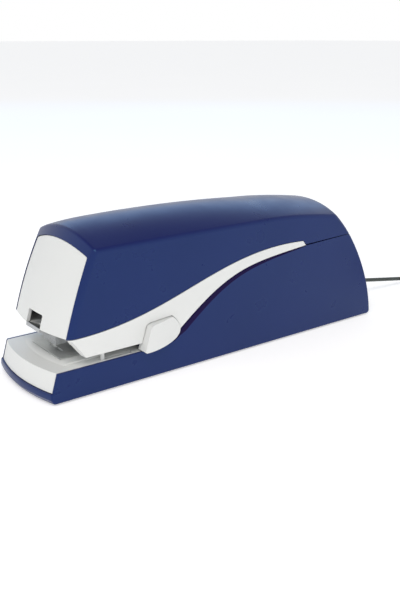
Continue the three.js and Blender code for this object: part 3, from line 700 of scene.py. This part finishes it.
COVER_LINE = bezier(COVER_EDGE, 60)
BAND_LINE = bezier(BAND_EDGE, 60)
ABOVE_COVER_EDGE = [
    (-FAR, NOSE_Z), *COVER_LINE, (TIP_Y, TIP_Z), REAR_SEAM, (FAR, REAR_SEAM[1]), (FAR, FAR), (-FAR, FAR),
]
BETWEEN_SEAMS = [
    *raised(COVER_LINE, -GAP), (TIP_Y - 0.6, TIP_Z - 0.1), *reversed(BAND_LINE),
    (BAND_FOOT_Y, HEAD_Z), (CHIN_Y, HEAD_Z), (SHELF_FRONT, 35),
]
BELOW_BAND = [
    (THROAT_Y, -FAR), (FAR, -FAR), (FAR, REAR_SEAM[1] - GAP), (REAR_SEAM[0], REAR_SEAM[1] - GAP),
    *reversed(raised(BAND_LINE, -GAP)), (BAND_FOOT_Y, HEAD_Z - GAP), (THROAT_Y, HEAD_Z - GAP),
]


def panel_outline(margin, low):
    """Front view of the drawer's panel, grown by a margin: it narrows upwards to an arched top."""
    wide, half = PANEL_LOW + margin, PANEL_HIGH + margin
    shoulder = (PANEL_SHOULDER + margin, PANEL_SHOULDER_Z + margin)
    side = bezier([(wide, 40), (wide, 62), (half, PANEL_CORNER_Z)], 12)
    corner = bezier([(half, PANEL_CORNER_Z), (half - 0.3, 80 + margin), shoulder], 6)
    right = [(wide, low), *side, *corner[1:]]
    top = bezier([shoulder, (0, PANEL_ARCH_Z + margin), (-shoulder[0], shoulder[1])], 36)
    return right + top[1:-1] + [(-x, z) for x, z in reversed(right)]


GRIP_GAP = 0.5  # all round a grip
GRIP_FAR = 45  # beyond the grips' outer faces


def grip_outline(margin):
    """Side view of a grip, grown by a margin."""
    m = margin
    top = bezier([(-64.2 - m, 32.8 + m), (-63.6 - m, 34.4 + m), (-61.5, 34.9 + m)], 6)
    tail = (-43.5 + m, 22.3 - m)
    rear = bezier([(-46.5 + m / 2, 36.1 + m), (-41.5 + m, 32.5), (-37.4 + m, 26 - m), tail], 16)
    low = bezier([tail, (-49, 19.5 - m), (-59, 18.4 - m), (-67.6 - m, 18.9 - m)], 14)
    return [(-68.6 - m, 19.6 - m), *top, *rear, *low[1:]]


def with_grip_holes(piece):
    return carve_both_sides(piece, prism("grip hole", grip_outline(GRIP_GAP), "x", 28, GRIP_FAR))


# ------------ housings
def add_top_cover():
    cover = keep(shell(), prism("above", ABOVE_COVER_EDGE, "x", -FAR, FAR))
    cover = carve(cover, prism("opening", panel_outline(GAP, 20), "y", -FAR, -80))
    dress(cover, "housing", BLUE, ["top_cover"], 0.35)


FLOOR_HALF, FLOOR_THICKNESS = 33, 2  # of the band's floor over the paper slot
SLOT_HALF = 9.2  # the drawer's slot in that floor
SHELF_TURN = 0.8  # the shelf's edge turns back by this share of the front's
BRIDGE_HALF, BRIDGE_LOW, BRIDGE_BACK_Y = 10.4, 34.6, -96  # over the drawer


def shelf_section(x):
    front = SHELF_FRONT - FRONT_BULGE * swell(x) + front_turn(x, NOSE_Z) * SHELF_TURN
    return [(front, SHELF_TOP), (front + 4, SHELF_LOW), (CHIN_BACK_Y, SHELF_LOW), (CHIN_BACK_Y, SHELF_TOP)]


def cheek_section(x):
    bulge = FRONT_BULGE * swell(x)
    front = [(SHELF_FRONT - bulge, SHELF_TOP), (CHIN_Y - bulge / 2, HEAD_Z)]
    return [*front, (CHIN_BACK_Y, HEAD_Z), (CHIN_BACK_Y, SHELF_TOP)]


def add_mid_frame():
    """The white band: two sides that run back as a taper, the hollow chin and the floor of the head."""
    half = HALF_WIDTH - GAP
    made = keep(shell(), prism("band", BETWEEN_SEAMS, "x", -FAR, FAR))
    made = join(made, loft("shelf", across(half), shelf_section))
    right = loft("cheek", [CHEEK_X, 30, 31, 32, 33, half], cheek_section)
    left = copy_of(right, mirror=True)
    made = join(join(made, right), left)
    front_y = CHIN_BACK_Y - 0.5
    made = join(made, block((-FLOOR_HALF, front_y, HEAD_Z), (FLOOR_HALF, CHIN_BACK_Y + 1.5, SHELF_TOP)))
    made = join(made, block((-FLOOR_HALF, front_y, HEAD_Z), (FLOOR_HALF, -56, HEAD_Z + FLOOR_THICKNESS)))
    made = carve(made, block((-SLOT_HALF, -FAR, HEAD_Z - 1), (SLOT_HALF, -40, 60)))
    bridge = block((-BRIDGE_HALF, CHIN_BACK_Y + 0.1, BRIDGE_LOW), (BRIDGE_HALF, BRIDGE_BACK_Y, SHELF_TOP))
    made = join(made, bridge)
    made = with_grip_holes(made)
    dress(made, "housing", WHITE, ["mid_frame"], 0.3)


TRAY_FOOT_Y, TRAY_TOP_Y = -125.6, -122.4  # the tray's front, at its sides
LIP_LOW_Z, LIP_TOP_Z = 3.8, 7.3  # of the lip along that front


def tray_section(x, inset):
    """Side view of the tray under the base plate, with its protruding lip."""
    bulge = TRAY_BULGE * swell(x) - inset - rounding(x, TRAY_ROUND)
    lip = bezier([(-127.3 - bulge, LIP_LOW_Z), (-127.2 - bulge, 7.2), (-126.4 - bulge, LIP_TOP_Z)], 5)
    front = [(TRAY_FOOT_Y - bulge, FLOOR_GAP - inset), *lip, (-125.9 - bulge, LIP_TOP_Z)]
    back = THROAT_Y + 1
    top = [(TRAY_TOP_Y - bulge * TABLE_BULGE, TABLE_Z), (back, TABLE_Z)]
    return [*front, *top, (back, FLOOR_GAP - inset)]


SCOOP_WIDTH, SCOOP_DEPTH = 3.9, 2  # of the hollow edge under the white band, at the grip
SCOOP_START = [(-46, 20.6), (-42.5, 24.4)]  # its first points, behind the grip


def scoop():
    """What the hollow edge under the white band takes away: wide at the grip, narrow at the tip."""
    sections = []
    line = SCOOP_START + bezier(BAND_EDGE, 40)
    for i, (y, z) in enumerate(line):
        y0, z0 = line[max(0, i - 1)]
        y1, z1 = line[min(len(line) - 1, i + 1)]
        length = math.hypot(y1 - y0, z1 - z0)
        down = ((z1 - z0) / length, -(y1 - y0) / length)
        share = i / (len(line) - 1)
        growth = min(1, 0.3 + 0.35 * i)  # it grows out of the grip's lower edge
        width = growth * (SCOOP_WIDTH * (1 - share) ** 0.8 + 0.7)
        depth = SCOOP_DEPTH * (1 - 0.55 * share)
        profile = [(-1, 1), (width, 1), (width, 0), (width * 0.86, -0.22), (width * 0.66, -0.5),
                   (width * 0.4, -0.78), (0, -1), (-1, -1)]
        section = []
        for along, out in profile:
            x = HALF_WIDTH + (out if out > 0 else out * depth)
            section.append((x, y + down[0] * along, z + down[1] * along))
        sections.append(section)
    return skin("scoop", sections)


def paint_shade_in_hollow(piece):
    """Gives the hollow edges' faces a darker, duller blue than the rest of the housing: painted shade in the
    hollow under the white band.
    """
    piece.data.materials.append(SHADED_BLUE)
    for face in piece.data.polygons:
        x, y, z = (c / MM for c in face.center)
        deep_enough = HALF_WIDTH - SCOOP_DEPTH - 0.05 < abs(x) < HALF_WIDTH - 0.02
        beside_band = SCOOP_START[0][0] - 1 < y < TIP_Y + 4 and z > 19
        if deep_enough and beside_band and abs(face.normal.x) > 0.3:
            face.material_index = 1


def rear_corner(x):
    """What rounds off the rear wall's lower edge takes away at x."""
    x = max(-HALF_WIDTH, min(HALF_WIDTH, x))
    y = REAR_FOOT_Y + REAR_BULGE * swell(x) - rounding(x, REAR_ROUND)
    steps = 6
    arc = []
    for i in range(steps + 1):
        turn = math.pi / 2 * i / steps
        forwards, up = 1 - math.sin(turn), 1 - math.cos(turn)
        arc.append((y - REAR_FOOT_ROUND * forwards, FLOOR_GAP + REAR_FOOT_ROUND * up))
    return [*arc, (y + 3, FLOOR_GAP + REAR_FOOT_ROUND), (y + 3, FLOOR_GAP - 3), (arc[0][0], FLOOR_GAP - 3)]


SCREW_X, SCREW_FRONT_Y, SCREW_REAR_Y = 27.4, -38, 100
SCREW_PLACES = [(x, y) for y in (SCREW_FRONT_Y, SCREW_REAR_Y) for x in (-SCREW_X, SCREW_X)]
SCREW_LOW = 1.9  # the screws' heads start here
SCREW_PROFILE = [(0, 0), (1.9, 0), (2.5, 0.25), (2.8, 0.7), (2.8, 1.4), (1.4, 1.6), (1.4, 12), (0, 12)]
BOSS_RADIUS, BOSS_LOW, BOSS_LENGTH = 4.6, 4.4, 14  # the screws' posts
HOLE_RADIUS, HOLE_LOW, HOLE_LENGTH = 1.8, 4, 12
SEAT_HALF, SEAT_LOW = 32.7, 7.1  # the base plate drops in here
BEAM_GATE_HALF, BEAM_GATE_TOP = 15, 10  # gates in the throat's wall
COVER_GATE_TOP = 4.1
TRIGGER_GATE_X, TRIGGER_GATE_Z = (19.4, 23.6), (18.8, 23.1)
INLET_RADIUS, INLET_LENGTH, INLET_Y = 5, 20, 122
FOOT_X, FOOT_FRONT_Y, FOOT_REAR_Y = 23, -108, 112
FOOT_PROFILE = [(0, 0), (5.6, 0), (6.1, 0.15), (6.4, 0.5), (6.3, 0.9), (6, 1.4), (0, 1.4)]


def rod(name, radius, length, axis, place, sides=48):
    return turned(name, [(0, 0), (radius, 0), (radius, length), (0, length)], axis, place, sides)


def add_lower_housing():
    """The tray under the base plate and, behind the throat, the housing's lower part."""
    tray = loft("tray", across(HALF_WIDTH), lambda x: tray_section(x, 0))
    inside = loft("tray inside", across(INNER), lambda x: tray_section(x, WALL))
    inside = keep(inside, block((-FAR, -FAR, -FAR), (FAR, THROAT_Y, FAR)))
    rear = keep(body(0), prism("below", BELOW_BAND, "x", -FAR, FAR))
    rear = keep(rear, block((-FAR, -FAR, FLOOR_GAP), (FAR, FAR, FAR)))
    rear_inside = keep(body(WALL), block((-FAR, THROAT_Y + WALL, -FAR), (FAR, FAR, FAR)))
    made = carve(join(tray, rear), inside)
    wall_front, wall_back = THROAT_Y - 1, THROAT_Y + WALL + 1
    plate_seat = block((-SEAT_HALF, -FAR, SEAT_LOW), (SEAT_HALF, THROAT_Y, FAR))
    beam_gate = block((-BEAM_GATE_HALF, wall_front, -FAR), (BEAM_GATE_HALF, wall_back, BEAM_GATE_TOP))
    cover_gate = block((-INNER, wall_front, -FAR), (INNER, wall_back, COVER_GATE_TOP))
    (left, right), (low, high) = TRIGGER_GATE_X, TRIGGER_GATE_Z
    trigger_gate = block((left, wall_front, low), (right, wall_back, high))
    inlet = rod("inlet", INLET_RADIUS, INLET_LENGTH, "y", (0, INLET_Y, DC_Z))
    for tool in (plate_seat, rear_inside, beam_gate, cover_gate, trigger_gate, inlet):
        made = carve(made, tool)
    made = with_grip_holes(made)
    stations = [-HALF_WIDTH - 2, *across(HALF_WIDTH)[1:-1], HALF_WIDTH + 2]
    made = carve(made, loft("rear corner", stations, rear_corner))
    made = carve_both_sides(made, scoop())
    for x, y in SCREW_PLACES:
        made = join(made, rod("boss", BOSS_RADIUS, BOSS_LENGTH, "z", (x, y, BOSS_LOW), 32))
        made = carve(made, rod("hole", HOLE_RADIUS, HOLE_LENGTH, "z", (x, y, HOLE_LOW), 24))
    dress(made, "housing", BLUE, ["lower_housing"], 0.3)
    # the hollow's faces get the darker blue of painted shade
    paint_shade_in_hollow(made)


def add_feet():
    for end, y in (("front", FOOT_FRONT_Y), ("rear", FOOT_REAR_Y)):
        for side, x in (("left", -FOOT_X), ("right", FOOT_X)):
            foot = turned(f"rubber_foot_{end}_{side}", FOOT_PROFILE, "z", (x, y, 0))
            for near in (2.2, 4.0):
                far = near + 0.5
                outline = [(near, -1), (far, -1), (far, 0.3), (near, 0.3), (near, -1)]
                foot = carve(foot, turned("groove", outline, "z", (x, y, 0)))
            dress(foot, "housing", RUBBER, [f"foot_{end}_{side}"], 0)


def add_screws():
    """Four cross-head screws, their heads down."""
    for i, (x, y) in enumerate(SCREW_PLACES):
        screw = turned(f"cross_screw_{i + 1}", SCREW_PROFILE, "z", (x, y, SCREW_LOW), 32)
        for half_x, half_y in ((1.6, 0.3), (0.3, 1.6)):
            low, high = (x - half_x, y - half_y, 0), (x + half_x, y + half_y, SCREW_LOW + 1)
            screw = carve(screw, block(low, high))
        dress(screw, "housing", STEEL, [f"housing_screw_{i + 1}"], 0.08)


# ------------ the paper table
PLATE_HALF, PLATE_THICKNESS = 32.4, 2
PLATE_FOOT_Z = 7.4  # the plate's front edge runs down to here
PAD_HALF, PAD_RISE = 25, 0.9  # the raised pad round the anvil
PAD_FRONT, PAD_ARCH, PAD_BACK = -115.2, 4, -90  # its front edge is further out by the arch in the middle
SLOT_X, SLOT_Y = (28.3, 30.9), (-93.6, -72.6)  # the paper stop's posts stand in these slots
POST_X, POST_Y, POST_TOP = (28.7, 30.5), (-93.2, -91), 23.5
BAR_HALF, BAR_Y = 30.5, (-95.8, -90.4)  # the bar that joins the posts
STOP_LOW, STOP_HIGH = 13.8, 16
ANVIL_HALF, ANVIL_FRONT, ANVIL_BACK, ANVIL_TOP = 17.6, -112.6, -92, 19.7
GROOVE_X = (0.8, 6.6)  # each of the two grooves that bend a staple's legs
RIM_DEPTH, GROOVE_DEPTH = 0.2, 0.5


def plate_section(x):
    bulge = TRAY_BULGE * swell(x)
    corner = rounding(x * HALF_WIDTH / PLATE_HALF, TRAY_ROUND)
    front = [(-122.2 - bulge * TABLE_BULGE + corner, TABLE_Z), (TRAY_FOOT_Y - bulge + corner, PLATE_FOOT_Z)]
    under = TABLE_Z - PLATE_THICKNESS
    back = [(-123.7 - bulge, PLATE_FOOT_Z), (-120.3 - bulge * TABLE_BULGE, under)]
    return [*front, *back, (THROAT_Y - GAP, under), (THROAT_Y - GAP, TABLE_Z)]


def pad_section(x):
    """The pad's front edge is arched in plan and rounded in section."""
    y = PAD_FRONT - PAD_ARCH * (1 - (x / PAD_HALF) ** 2)
    top = TABLE_Z + PAD_RISE
    edge = bezier([(y - 0.5, TABLE_Z - 0.3), (y + 2.2, top), (y + 5, top)], 8)
    return [*edge, (PAD_BACK, top), (PAD_BACK + 2, TABLE_Z - 0.5)]


def add_base_plate():
    made = loft("plate", across(PLATE_HALF), plate_section)
    made = join(made, loft("pad", [PAD_HALF * (i / 20 - 1) for i in range(41)], pad_section))
    made = carve(made, block((-18, -113, 0), (18, -91.6, 40)))
    for side in (-1, 1):
        low, high = sorted(side * x for x in SLOT_X)
        made = carve(made, block((low, SLOT_Y[0], 0), (high, SLOT_Y[1], 40)))
    line = block((-20, -88.4, TABLE_Z - 0.5), (20, -68.6, TABLE_Z + 1))  # a shallow line behind the pad
    made = carve(made, carve(line, block((-19, -87.4, 0), (19, -69.6, 40))))
    dress(made, "housing", WHITE, ["base_plate"], 0.35)


def add_anvil():
    made = block((-ANVIL_HALF, ANVIL_FRONT, 17.2), (ANVIL_HALF, ANVIL_BACK, ANVIL_TOP))
    made.name = "anvil_block"
    near, far = DRIVER_Y - 1, DRIVER_Y + 1
    rim, above = ANVIL_TOP - RIM_DEPTH, ANVIL_TOP + 1
    trough = [(near, above), (near, rim), (DRIVER_Y, ANVIL_TOP - GROOVE_DEPTH), (far, rim), (far, above)]
    for side in (-1, 1):
        low, high = sorted(side * x for x in GROOVE_X)
        made = carve(made, prism("groove", trough, "x", low, high))
    dress(made, "housing", ANVIL_STEEL, ["anvil"], 0.3)


def add_paper_stop():
    made = block((-BAR_HALF, BAR_Y[0], STOP_LOW), (BAR_HALF, BAR_Y[1], STOP_HIGH))
    made.name = "stop_bar"
    for side in (-1, 1):
        low, high = sorted(side * x for x in POST_X)
        made = join(made, block((low, POST_Y[0], STOP_LOW), (high, POST_Y[1], POST_TOP)))
    dress(made, "stop", WHITE, ["paper_stop"], 0.3)


# ------------ the staple drawer
NOSE_HALF = 8.3
NOSE_LIP = [
    (-118.8, 36.5), (-109.2, 31.8), (-109.2, 24.6), (-110.4, 24.6), (-110.4, 30.2), (-120.4, 34.6),
    (-120, 37),
]


def mouth_outline():
    """Front view of the mouth, with its two upper corners cut off."""
    half, cut = MOUTH_HALF, MOUTH_CORNER
    right = [(half, 20), (half, MOUTH_TOP - cut), (half - cut, MOUTH_TOP)]
    return [(-half, 20), *right, *[(-x, z) for x, z in reversed(right[1:])]]


def add_front_panel():
    panel = carve(body(PANEL_SET_BACK), body(PANEL_SET_BACK + WALL))
    panel = keep(panel, prism("panel", panel_outline(0, NOSE_Z + 0.1), "y", -FAR, -84))
    panel = carve(panel, prism("mouth", mouth_outline(), "y", -FAR, -80))
    panel.name = "drawer_front"
    dress(panel, "drawer", WHITE, ["front_panel"], 0.35)


def add_nose():
    """The steel nose in front of the staples, with the sloping lip under the mouth."""
    nose = prism("nose", NOSE_LIP, "x", -NOSE_HALF, NOSE_HALF)
    nose = join(nose, block((-NOSE_HALF, -109.4, 24.6), (NOSE_HALF, -107.4, 35.4)))
    nose.name = "steel_nose"
    dress(nose, "drawer", STEEL, ["magazine_nose"], 0.25)


# ------------ the release grips
GRIP_IN, GRIP_OUT = 31, 39  # the grip's inner face and, at its front, its outer face
GRIP_BEND = bezier([(GRIP_OUT, -65.5), (37.6, -54), (34.6, -42)], 12)
GRIP_PLAN = [
    (GRIP_IN, -75), (GRIP_OUT, -75), (GRIP_OUT, -65.5), *GRIP_BEND[1:], (34.4, -30), (GRIP_IN, -30),
]


def right_grip():
    """A grip, proud of the side wall at its front and flush at its rear, with a stem and flange inside."""
    grip = prism("grip", grip_outline(0), "x", GRIP_IN, GRIP_FAR)
    grip = keep(grip, prism("plan", GRIP_PLAN, "z", 0, 60))
    flange = block((29.9, -55.5, 21.5), (31.2, -44.5, 35))
    stem = block((16, -54, 27.5), (30.5, -50, 31.5))
    return join(join(grip, flange), stem)


def add_grips():
    for side in ("right", "left"):
        grip = right_grip()
        if side == "left":
            mirrored = copy_of(grip, mirror=True)
            bpy.data.objects.remove(grip)
            grip = mirrored
        grip.name = f"side_grip_{side}"
        dress(grip, f"release_{side}", WHITE, [f"release_grip_{side}"], 0.6)


# ------------ springs
SPRING_Z = 33  # the pusher's spring lies at this height
PUSHER_SPRING_Y = (-61.1, -31.7)
RELEASE_SPRING_X, RELEASE_SPRING_Y, RELEASE_SPRING_Z = (12.7, 29.5), -47, 29.5
RETURN_SPRING_Y, RETURN_SPRING_Z = -40, (55.2, 70.2)


def applied_curve(curve):
    """The curve's surface as a mesh object of the same name, in its place."""
    name = curve.name
    graph = bpy.context.evaluated_depsgraph_get()
    mesh = bpy.data.meshes.new_from_object(curve.evaluated_get(graph))
    bpy.data.objects.remove(curve)
    piece = bpy.data.objects.new(name, mesh)
    bpy.context.collection.objects.link(piece)
    mesh.materials.clear()
    return piece


def coil_spring(name, start, end, radius, wire, turns, body, node):
    """A wire wound along a straight line, its turns closer together at its ends and its middle."""
    start, end = Vector(start), Vector(end)
    axis = (end - start).normalized()
    side = axis.cross(Vector((0, 0, 1)) if abs(axis.z) < 0.9 else Vector((1, 0, 0))).normalized()
    other = axis.cross(side)
    points = []
    per_turn = 12
    reach = radius - wire
    length = (end - start).length - 2 * wire
    count = turns * per_turn
    for i in range(count + 1):
        share = i / count
        eased = share + math.sin(4 * math.pi * share) * -0.03
        angle = 2 * math.pi * i / per_turn
        at = start + axis * (wire + length * eased)
        points.append(at + side * reach * math.cos(angle) + other * reach * math.sin(angle))
    spring = applied_curve(tube(name, points, wire, 2, 2))
    spring.data.materials.append(STEEL)
    spring.data.shade_smooth()
    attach(spring, body)
    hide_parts(node)
    return spring


def add_springs():
    front, rear = ((0, y, SPRING_Z) for y in PUSHER_SPRING_Y)
    pusher = coil_spring("pusher_coil", front, rear, 1.1, 0.16, 26, "drawer", "pusher_spring")
    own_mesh(pusher)
    for side, sign in (("right", 1), ("left", -1)):
        inner, outer = ((sign * x, RELEASE_SPRING_Y, RELEASE_SPRING_Z) for x in RELEASE_SPRING_X)
        node = f"release_spring_{side}"
        spring = coil_spring(f"grip_coil_{side}", inner, outer, 1.8, 0.25, 11, "housing", node)
        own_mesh(spring)
    low, high = ((0, RETURN_SPRING_Y, z) for z in RETURN_SPRING_Z)
    coil_spring("rocker_coil", low, high, 2.4, 0.35, 12, "housing", "return_spring")


add_top_cover()
add_mid_frame()
add_lower_housing()
add_feet()
add_screws()
add_base_plate()
add_anvil()
add_paper_stop()
add_front_panel()
add_nose()
add_grips()
add_springs()


# ------------ CAD pieces that stay
FINISHES = [
    (BLACK, ["bottom_cover", "paper_trigger", "trigger_switch", "staple_pusher", "driver_holder",
             "motor_end_cap", "capacitor", "relay", "home_switch", "dc_socket"]),
    (STEEL, ["magazine_channel", "staple_strip", "chassis", "rocker_axle", "spring_anchor_pin", "roller_pin",
             "driver_blade", "idler_axle", "motor_can"]),
    (DARK_STEEL, ["anvil_beam", "staple_rail", "rocker_arm", "cam_shaft"]),
    (NYLON, ["cam_roller", "cam_gear", "idler_gear"]),
    (BRASS, ["motor_pinion"]),
    (BOARD, ["circuit_board"]),
]


def finish_cad_node(node, material):
    node.data.materials.clear()
    node.data.materials.append(material)
    edge = node.modifiers.new("soft edges", "BEVEL")
    edge.width = 0.15 * MM
    edge.segments = 1
    edge.limit_method = "ANGLE"
    edge.angle_limit = math.radians(40)


for material, names in FINISHES:
    for name in names:
        finish_cad_node(cad_nodes[name], material)


# ------------ floor and light
FLOOR_GLOW = 0.45  # the floor is lit from below as well, as a light table is
FLOOR_LIGHT = (1, 0.985, 0.965, 1)
FLOOR_HALF_SIZE = 40  # metres, as are the lamps' places and sizes
# the studio's light by the sine of its height: white at the horizon, slightly cool half way, dim overhead
HORIZON = (0.06, (1, 1, 1, 1))
HALF_WAY = (0.45, (0.9, 0.93, 0.97, 1))
ZENITH = (0.82, (0.24, 0.25, 0.27, 1))
LAMP_COLOR = (1, 0.955, 0.9)
SHEEN_COLOR = (0.02, 0.4, 1)
LIT_PLACE = (0, 0, 0.05)


def add_floor():
    bpy.ops.mesh.primitive_plane_add(size=2 * FLOOR_HALF_SIZE, location=(0, 0, -0.0001))
    floor = bpy.context.object
    floor.name = "floor"
    made = Nodes("pale floor", 0.9)
    made.shader.inputs["Specular IOR Level"].default_value = 0
    made.shader.inputs["Emission Color"].default_value = FLOOR_LIGHT
    made.shader.inputs["Emission Strength"].default_value = FLOOR_GLOW
    made.link(made.tint(made.noise(3), (0.86, 0.86, 0.86), (0.88, 0.88, 0.88)), "Base Color")
    floor.data.materials.append(made.material)


def softbox(name, place, width, height, power, color):
    """A rectangular lamp that faces the object."""
    data = bpy.data.lights.new(name, "AREA")
    data.shape = "RECTANGLE"
    data.size = width
    data.size_y = height
    data.energy = power
    data.color = color
    lamp = bpy.data.objects.new(name, data)
    lamp.location = place
    lamp.rotation_euler = (Vector(LIT_PLACE) - Vector(place)).to_track_quat("-Z", "Y").to_euler()
    bpy.context.collection.objects.link(lamp)


def add_sky():
    world = bpy.data.worlds.new("studio")
    bpy.context.scene.world = world
    world.use_nodes = True
    tree = world.node_tree
    up = tree.nodes.new("ShaderNodeSeparateXYZ")
    tree.links.new(tree.nodes.new("ShaderNodeTexCoord").outputs["Generated"], up.inputs[0])
    fade = tree.nodes.new("ShaderNodeValToRGB")
    stops = fade.color_ramp.elements
    for stop, (height, color) in zip(stops, (HORIZON, ZENITH)):
        stop.position = height
        stop.color = color
    stops.new(HALF_WAY[0]).color = HALF_WAY[1]
    tree.links.new(up.outputs["Z"], fade.inputs["Fac"])
    tree.links.new(fade.outputs["Color"], tree.nodes["Background"].inputs["Color"])
    tree.nodes["Background"].inputs["Strength"].default_value = 1


def add_light():
    add_sky()
    softbox("high box", (0.7, -0.6, 1.3), 0.9, 0.7, 9, LAMP_COLOR)
    softbox("blue box", (-1.4, 1.05, 0.95), 1.6, 0.8, 3.2, SHEEN_COLOR)


add_floor()
add_light()
bpy.context.scene.view_settings.view_transform = "Standard"
